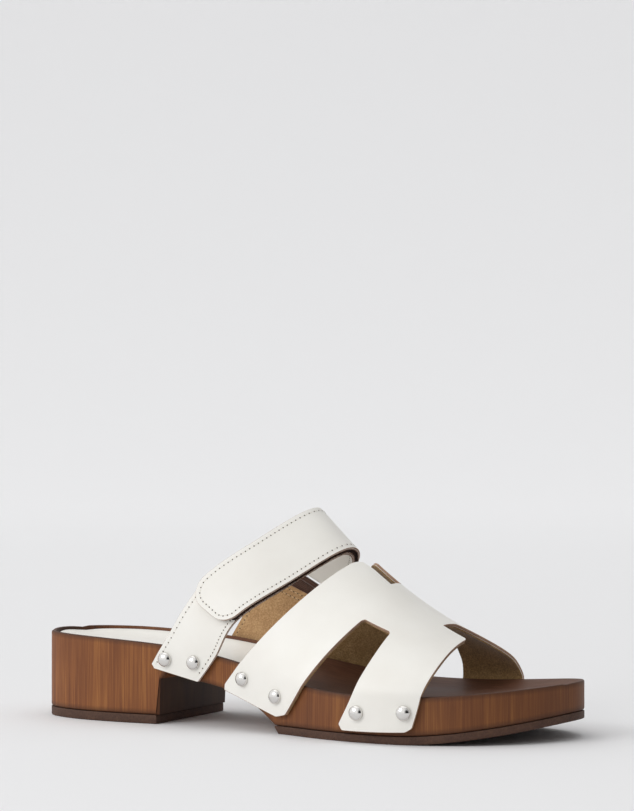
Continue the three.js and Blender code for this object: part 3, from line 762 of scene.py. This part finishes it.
for k in range(1, 401):
    point = catmullRom(centres, k / 400)
    arc.append(arc[-1] + (point - previous).length)
    previous = point
strapLength = arc[-1]
arcShare = np.array(arc) / strapLength
arcTime = np.linspace(0, 1, 401)


def strapFace(a, w):
    t = float(np.interp(a, arcShare, arcTime))
    return catmullRom(rears, t).lerp(catmullRom(fronts, t), w + 0.5)


def strapAxes(a, w):
    run = strapFace(min(a + 0.004, 1), w) - strapFace(max(a - 0.004, 0), w)
    side = strapFace(a, w + 0.05) - strapFace(a, w - 0.05)
    return run.normalized(), -run.cross(side).normalized()


def strapPoint(a, w, lift):
    return strapFace(a, w) + strapAxes(a, w)[1] * lift


barRun = strap["ringBar"] * strapLength
foldRun = math.pi * (strap["inside"] + strap["outside"]) / 2
flapRun = (strap["ringBar"] - strap["flapEnd"]) * strapLength
fullRun = barRun + foldRun + flapRun


def beltPoint(s, y, radius):
    # the whole strap as one belt: up the outer side, round the ring bar and back over itself
    w = y / strap["width"]
    if s <= barRun:
        return strapPoint(s / strapLength, w, strap["barLift"] - radius)
    if s >= barRun + foldRun:
        return strapPoint(strap["ringBar"] - (s - barRun - foldRun) / strapLength, w, strap["barLift"] + radius)
    angle = (s - barRun) / foldRun * math.pi
    run, out = strapAxes(strap["ringBar"], w)
    centre = strapFace(strap["ringBar"], w) + out * strap["barLift"]
    return centre + run * radius * math.sin(angle) - out * radius * math.cos(angle)


def beltOutline(start, end, startCorner, endCorner):
    # counter-clockwise round the flat belt; a corner is (size, steps), with one step for a cut corner
    half = strap["width"] / 2
    points = []
    frontCorner = (0.4, 1) if startCorner[0] else startCorner
    for x, y, ahead, (size, count) in ((start, -half, 1, startCorner), (end, -half, -1, endCorner),
                                       (end, half, -1, endCorner), (start, half, 1, frontCorner)):
        centre = Vector((x + ahead * size, y - math.copysign(size, y)))
        corner = []
        for k in range(count + 1):
            angle = k / count * math.pi / 2
            corner.append(centre + Vector((-ahead * math.cos(angle), math.copysign(math.sin(angle), y))) * size)
        if (x == start) == (y > 0):
            corner.reverse()
        points += corner if size else corner[:1]
    return densify(points, 2.5)


foldCuts = steps(barRun - 1.2, barRun + foldRun + 1.2, 0.35)
strapCutsY = steps(-10, 10.5, strap["grid"])
joinAt = barRun + foldRun + strap["flapJoin"]


def beltLayer(name, start, end, corners, facing, materials, nodes, body):
    # facing "out" lies on the fold's outer radius, "in" on its inner one
    outline = beltOutline(start, end, *corners)
    grid, half = strap["grid"], strap["width"] / 2
    runCuts = [x for x in steps(start + grid, end - 0.5, grid) if not barRun - 2 < x < barRun + foldRun + 2]
    closeCuts = [x for x in foldCuts if start < x < end]
    outline = weaveIn(outline, [Vector((x, y)) for x in closeCuts for y in (-half, half)])
    bm = slab(outline, strap["ply"], strap["edge"], sorted(runCuts + closeCuts), strapCutsY, 1, 1)
    if facing == "out":
        bend(bm, lambda x, y, z: beltPoint(x, y, strap["outside"] - strap["ply"] + z))
    else:
        bend(bm, lambda x, y, z: beltPoint(x, y, strap["inside"] + strap["ply"] - z))
    return makePiece(name, bm, materials, nodes, body)


def weaveIn(outline, extra):
    # adds points that lie on the outline's straight edges
    found = []
    for a, b in zip(outline, outline[1:] + outline[:1]):
        found.append(a)
        if abs(a.y - b.y) > 1e-6:
            continue
        between = [p for p in extra if abs(p.y - a.y) < 1e-6 and min(a.x, b.x) + 0.05 < p.x < max(a.x, b.x) - 0.05]
        found += sorted(between, key=lambda p: (p - a).length)
    return found


square = (0.0, 1)
toeCut = (strap["toe"], 1)  # only the rear corner is cut
flapCut = (strap["flapRound"], 9)
strapOuter = beltLayer("strapOuter", 0, joinAt, (toeCut, square), "in", whiteCut,
                       ["strap_outer"], None)
strapLining = beltLayer("strapLining", 0, joinAt, (toeCut, square), "out", whiteCut,
                        ["strap_lining"], None)
beltLayer("flapUnderside", joinAt, fullRun, (square, flapCut), "in", whiteCut,
          ["flap_underside"], "flap")
beltLayer("flapFace", joinAt, fullRun, (square, flapCut), "out", whiteCut, ["flap_face"], "flap")
foldStart = toFrame(strapPoint(strap["ringBar"], 0, strap["bendFrom"]))
foldEnd = toFrame(strapPoint(strap["ringBar"], 0, strap["bendTo"]))
for piece in (strapOuter, strapLining):
    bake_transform(piece)


def bandOutline(low, high, half, corner, step):
    board = [Vector(p) for p in ((low, -half), (high, -half), (high, half), (low, half))]
    return densify(roundCorners(board, corner), step)


# touch fastener: two tapes, each with its lift and thickness, and a fringe of cut pile along their edges
tapes = {"loop": (1.41, 1.08), "hook": (2.5, 0.69), "corner": 3, "edge": 0.15, "fibres": 1500,
         "fibreLength": (0.5, 1.2), "fibreWidth": 0.1}


def tapeLayer(name, low, thickness, node, body):
    start, end = strap["tapeEnd"] * strapLength, strap["tapeStart"] * strapLength
    half = strap["tapeWidth"] / 2
    outline = bandOutline(start, end, half, tapes["corner"], 2.5)
    bm = slab(outline, thickness, tapes["edge"], steps(start + 2, end, strap["grid"]), strapCutsY, 1)
    bend(bm, lambda x, y, z: strapPoint(x / strapLength, y / strap["width"], low + z))
    for k in range(tapes["fibres"]):
        side = -1 if k % 2 else 1
        a = random.uniform(start + 1.5, end - 0.5) / strapLength
        lift = low + random.uniform(0.1, 1) * thickness
        run, out = strapAxes(a, side * 0.47)
        root = strapPoint(a, side * (half - 0.3) / strap["width"], lift)
        away = out.cross(run) * side + run * random.uniform(-0.8, 0.8) + out * random.uniform(-0.7, 0.7)
        if (strapPoint(a, side * 0.48, lift) - strapPoint(a, side * 0.4, lift)).dot(away) < 0:
            away.negate()
        reach = random.uniform(*tapes["fibreLength"])
        turn = Vector((0, 0, 1)).rotation_difference(away.normalized()).to_matrix().to_4x4()
        at = Matrix.Translation(toFrame(root + away.normalized() * reach * 0.5))
        bmesh.ops.create_cone(bm, cap_ends=True, segments=3, radius1=tapes["fibreWidth"] * 0.001,
                              radius2=tapes["fibreWidth"] * 0.0004, depth=reach * 0.001, matrix=at @ turn)
    return makePiece(name, bm, [finish["tape"]], [node], body)


tapeLayer("loopTape", *tapes["loop"], "loop_tape", "shoe")
tapeLayer("hookTape", *tapes["hook"], "hook_tape", "flap")

# inner strap: tan suede inside, white leather outside, closed round the elastic's tail
innerStart = strap["tabStitch"] * strapLength
innerEnd = strapLength


def innerLayer(name, faces, materials, node):
    outline = bandOutline(innerStart, innerEnd, strap["width"] / 2, 1.5, 2.0)
    bm = slab(outline, 1.0, strap["edge"], steps(innerStart + 2, innerEnd, strap["grid"]), strapCutsY, 1, 1)

    def place(x, y, z):
        low, high = faces(smoothStep(x - innerStart, 9, 20))
        return strapPoint(x / strapLength, y / strap["width"], low + (high - low) * z)

    return makePiece(name, bend(bm, place), materials, [node])


innerLayer("innerStrapLining", lambda t: (0, 0.8 + 1.1 * t), [finish["tanSuede"], finish["raw"]],
           "inner_strap_lining")
innerLayer("innerStrapOuter", lambda t: (2.2 - 0.25 * t, strap["innerTop"]), whiteCut,
           "inner_strap_outer")
print("straps made")

# ---- stitching ----
stitch = {"pitch": 2.1, "length": 1.3, "thread": 0.2, "flat": 0.09, "hole": 0.36, "inset": 2.0, "sink": 0.05,
          "proud": 0.02}


def walk(points, pitch):
    # evenly spaced places along a line of flat points, with the direction there
    lengths = [0.0]
    for a, b in zip(points, points[1:]):
        lengths.append(lengths[-1] + (b - a).length)
    count = max(1, round(lengths[-1] / pitch))
    for k in range(count):
        s = (k + 0.5) / count * lengths[-1]
        i = min(int(np.searchsorted(lengths, s)), len(points) - 1)
        a, b = points[i - 1], points[i]
        yield a.lerp(b, (s - lengths[i - 1]) / (lengths[i] - lengths[i - 1])), (b - a).normalized()


def sew(bm, rows, surface):
    # surface(x, y) gives the place, and (x, y) of a row are flat pattern millimetres; thread is material 0, hole 1
    for row in rows:
        for at, way in walk(row, stitch["pitch"]):
            spot = surface(at.x, at.y)
            ahead = surface(at.x + way.x * 0.5, at.y + way.y * 0.5)
            across = surface(at.x - way.y * 0.5, at.y + way.x * 0.5)
            run = (ahead - spot).normalized()
            out = run.cross(across - spot).normalized()
            side = out.cross(run)
            basis = Matrix((run, side, out)).transposed().to_4x4()
            shapes = (
                (spot, (stitch["length"] / 2, stitch["thread"], stitch["flat"]), 0),
                (spot + run * stitch["pitch"] / 2, (stitch["hole"], stitch["hole"], stitch["sink"]), 1),
            )
            for centre, size, index in shapes:
                scale = Matrix.Diagonal((*(s * 0.001 for s in size), 1))
                matrix = Matrix.Translation(toFrame(centre)) @ basis @ scale
                made = bmesh.ops.create_uvsphere(bm, u_segments=6, v_segments=5, radius=1, matrix=matrix)
                for f in {f for v in made["verts"] for f in v.link_faces}:
                    f.material_index = index


def straightRow(start, end, y, step=2.0):
    count = max(2, round(abs(end - start) / step))
    return [Vector((start + (end - start) * k / count, y)) for k in range(count + 1)]


rowY = strap["width"] / 2 - stitch["inset"]


def flapRows():
    # down one edge, round the end and back up the other
    centreX = fullRun - strap["flapRound"]
    reach = strap["flapRound"] - stitch["inset"]
    row = straightRow(joinAt + 0.5, centreX, -rowY)
    for y0, low in ((-1, -90), (1, 0)):
        for k in range(13):
            angle = math.radians(low + k * 7.5)
            row.append(Vector((centreX + reach * math.cos(angle),
                               y0 * (rowY - reach) + reach * math.sin(angle))))
    return [row + straightRow(centreX, joinAt + 0.5, rowY)]


def stitchPiece(name, jobs, materials, body):
    bm = bmesh.new()
    for rows, surface in jobs:
        sew(bm, rows, surface)
    return makePiece(name, bm, materials, (), body)


def onBelt(radius):
    return lambda x, y: beltPoint(x, y, radius)


threadAndHole = [finish["thread"], finish["hole"]]
outward, inward = strap["outside"] + stitch["proud"], strap["inside"] - stitch["proud"]
stitchPiece("flapStitches", [(flapRows(), onBelt(outward))], threadAndHole, "flap")
longRows = [straightRow(2.0, barRun + foldRun + 2, y) for y in (-rowY, rowY)]
footRows = [straightRow(2.0, strap["tapeEnd"] * strapLength - 1, y) for y in (-rowY, rowY)]
strapStitches = stitchPiece("strapStitches", [(longRows, onBelt(outward)), (footRows, onBelt(inward))],
                            threadAndHole, None)
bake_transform(strapStitches)


def onRoute(lift):
    return lambda x, y: strapPoint(x / strapLength, y / strap["width"], lift)


innerRows = [straightRow(innerStart + 2, innerEnd - 2, y) for y in (-rowY, rowY)]
innerRows += [[Vector((innerStart + x, y)) for y in np.linspace(-rowY, rowY, 12)] for x in (2.0, 4.6)]
stitchPiece("innerStrapStitches", [(innerRows, onRoute(strap["innerTop"] + stitch["proud"]))], threadAndHole, "shoe")
stitchPiece("innerLiningStitches", [(innerRows, onRoute(-stitch["proud"]))], [finish["tanThread"], finish["hole"]],
            "shoe")
print("stitching made")

# ---- ring and elastic ----
ring = {"wire": 1.5, "inside": 26.4, "pitch": 4.7, "corner": 2.0, "play": 0.1, "band": 0.5, "width": 22.5,
        "tail": 10.0, "elasticLift": 1.5}
strapBar = strapPoint(strap["ringBar"], 0, strap["barLift"])
elasticBar = strapPoint(strap["ringBar"] + ring["pitch"] / strapLength, 0, ring["elasticLift"])
acrossRing = (strapFace(strap["ringBar"], 0.5) - strapFace(strap["ringBar"], -0.5)).normalized()
downRing = elasticBar - strapBar
downRing = (downRing - acrossRing * downRing.dot(acrossRing)).normalized()
outRing = acrossRing.cross(downRing)


def wrapGrid(across, around, place):
    # a grid whose points go through place(i, j), its edges joined where they meet
    bm = bmesh.new()
    bmesh.ops.create_grid(bm, x_segments=across, y_segments=around, size=1)
    pattern = bm.loops.layers.uv.new("pattern")
    for f in bm.faces:
        for loop in f.loops:
            x, y = loop.vert.co.x, loop.vert.co.y
            loop[pattern].uv = ((x + 1) / 2, (y + 1) / 2)
    for v in bm.verts:
        v.co = place((v.co.x + 1) / 2, (v.co.y + 1) / 2)
    bmesh.ops.remove_doubles(bm, verts=bm.verts[:], dist=1e-6)
    return bm


def ringPoint(i, j):
    longHalf = ring["inside"] / 2 + ring["wire"] / 2 - ring["corner"]
    shortHalf = ring["pitch"] / 2 - ring["corner"]
    lengths = [2 * longHalf, math.pi / 2 * ring["corner"], 2 * shortHalf, math.pi / 2 * ring["corner"]] * 2
    s = (i % 1.0) * sum(lengths)
    p = Vector((longHalf, shortHalf + ring["corner"]))
    direction = math.pi
    for k, length in enumerate(lengths):
        step = min(s, length)
        if k % 2 == 0:
            p = p + Vector((math.cos(direction), math.sin(direction))) * step
        else:
            turn = step / ring["corner"]
            centre = p + Vector((-math.sin(direction), math.cos(direction))) * ring["corner"]
            offset = p - centre
            p = centre + Vector((offset.x * math.cos(turn) - offset.y * math.sin(turn),
                                 offset.x * math.sin(turn) + offset.y * math.cos(turn)))
            direction += turn
        s -= step
        if s <= 1e-9:
            break
    normal = Vector((math.sin(direction), -math.cos(direction)))
    angle = j * 2 * math.pi
    radius = ring["wire"] / 2
    flat = p + normal * radius * math.cos(angle)
    spot = strapBar + downRing * (ring["pitch"] / 2 + flat.y) + acrossRing * flat.x
    return toFrame(spot + outRing * radius * math.sin(angle))


makePiece("strapRing", wrapGrid(120, 16, ringPoint), [finish["steel"]], ["strap_ring"])


def elasticPath():
    # the band seen from its edge: one tail in to the bar, round it and out as the other tail
    reach = ring["wire"] / 2 + ring["play"] + ring["band"] / 2
    half = ring["band"] / 2 + 0.05
    opening = math.asin(half / reach)
    points = [Vector((ring["tail"] - (ring["tail"] - reach) * k / 10, half)) for k in range(10)]
    for k in range(25):
        angle = opening + (2 * math.pi - 2 * opening) * k / 24
        points.append(Vector((reach * math.cos(angle), reach * math.sin(angle))))
    points += [Vector((reach + (ring["tail"] - reach) * k / 10, -half)) for k in range(1, 11)]
    return points


elasticLine = elasticPath()


def elasticPoint(x, w, y):
    share = strap["ringBar"] + (ring["pitch"] + x) / strapLength
    onStrap = strapPoint(share, w / strap["width"], ring["elasticLift"] + y)
    spot = strapBar + downRing * (ring["pitch"] + x) + outRing * y + acrossRing * w
    return spot.lerp(onStrap, smoothStep(x, 1.35, ring["tail"] - 4))


def elasticTab():
    lengths = [0.0]
    for p, q in zip(elasticLine, elasticLine[1:]):
        lengths.append(lengths[-1] + (q - p).length)
    half = ring["width"] / 2
    outline = [Vector((x, -half)) for x in lengths] + [Vector((x, half)) for x in reversed(lengths)]
    bm = slab(outline, ring["band"], 0, lengths[1:-1], steps(-10.2, 11, 1.5))

    def place(x, y, z):
        i = min(max(int(np.searchsorted(lengths, x, "right")) - 1, 0), len(lengths) - 2)
        before, after = elasticLine[i], elasticLine[i + 1]
        p = before.lerp(after, (x - lengths[i]) / (lengths[i + 1] - lengths[i]))
        run = (after - elasticLine[max(i - 1, 0)]).normalized()
        normal = Vector((run.y, -run.x))
        p = p + normal * (z - ring["band"] / 2)
        return elasticPoint(p.x, y, p.y)

    return makePiece("elasticTab", bend(bm, place), [finish["elastic"]], ["elastic_tab"])


elasticTab()
print("ring and elastic made")

# ---- studs ----
stud = {
    "radius": 3.25,
    "crown": 2.3,
    "shank": 1.0,
    "depth": 3.0,
    "proud": 0.05,
    "vamp": [("outer_vamp_1", -1, 112.1, 22.5), ("outer_vamp_2", -1, 130.9, 16.3), ("outer_vamp_3", -1, 174.5, 12.6),
             ("outer_vamp_4", -1, 195.3, 13.6), ("inner_vamp_1", 1, 109, 22.5), ("inner_vamp_2", 1, 132, 15.8),
             ("inner_vamp_3", 1, 182, 12.6), ("inner_vamp_4", 1, 201.5, 13.8)],
    "strap": [("outer_strap_rear", 0.034, -0.31, 1.4), ("outer_strap_front", 0.04, 0.2, 1.4),
              ("inner_strap_rear", 0.966, -0.31, 3.1), ("inner_strap_front", 0.96, 0.2, 3.1)],
}


def domedStud(name, seat, normal):
    bm = bmesh.new()
    r, c = stud["radius"], stud["crown"]
    shank, depth = stud["shank"], stud["depth"]
    profile = [(0.0, -depth), (shank, -depth), (shank, 0.1), (r - 0.5, 0.0), (r - 0.08, -0.05), (r, 0.12),
               (r - 0.02, 0.3)]
    profile += [(r * math.cos(a), 0.25 + (c - 0.05) * math.sin(a)) for a in np.linspace(0.12, math.pi / 2, 12)]
    profile[-1] = (0.0, profile[-1][1])
    line = [bm.verts.new((x * 0.001, 0, z * 0.001)) for x, z in profile]
    edges = [bm.edges.new(pair) for pair in zip(line, line[1:])]
    bmesh.ops.spin(bm, geom=line + edges, cent=(0, 0, 0), axis=(0, 0, 1), angle=2 * math.pi, steps=36,
                   use_merge=True)
    bmesh.ops.remove_doubles(bm, verts=bm.verts[:], dist=1e-7)
    turn = Vector((0, 0, 1)).rotation_difference(normal).to_matrix().to_4x4()
    bmesh.ops.transform(bm, matrix=Matrix.Translation(toFrame(seat)) @ turn, verts=bm.verts[:])
    part = "".join(word.capitalize() for word in name.split("_"))
    return makePiece("stud" + part, bm, [finish["steel"]], ["stud_" + name], "shoe", 50)


for name, side, x, z in stud["vamp"]:
    normal = wallNormal(x, side)
    domedStud(name, Vector((x, wallY(x, side), z)) + normal * (vamp["stand"] + stud["proud"]), normal)
for name, a, w, face in stud["strap"]:
    domedStud(name, strapPoint(a, w, face + stud["proud"]), strapAxes(a, w)[1])
print("studs made")
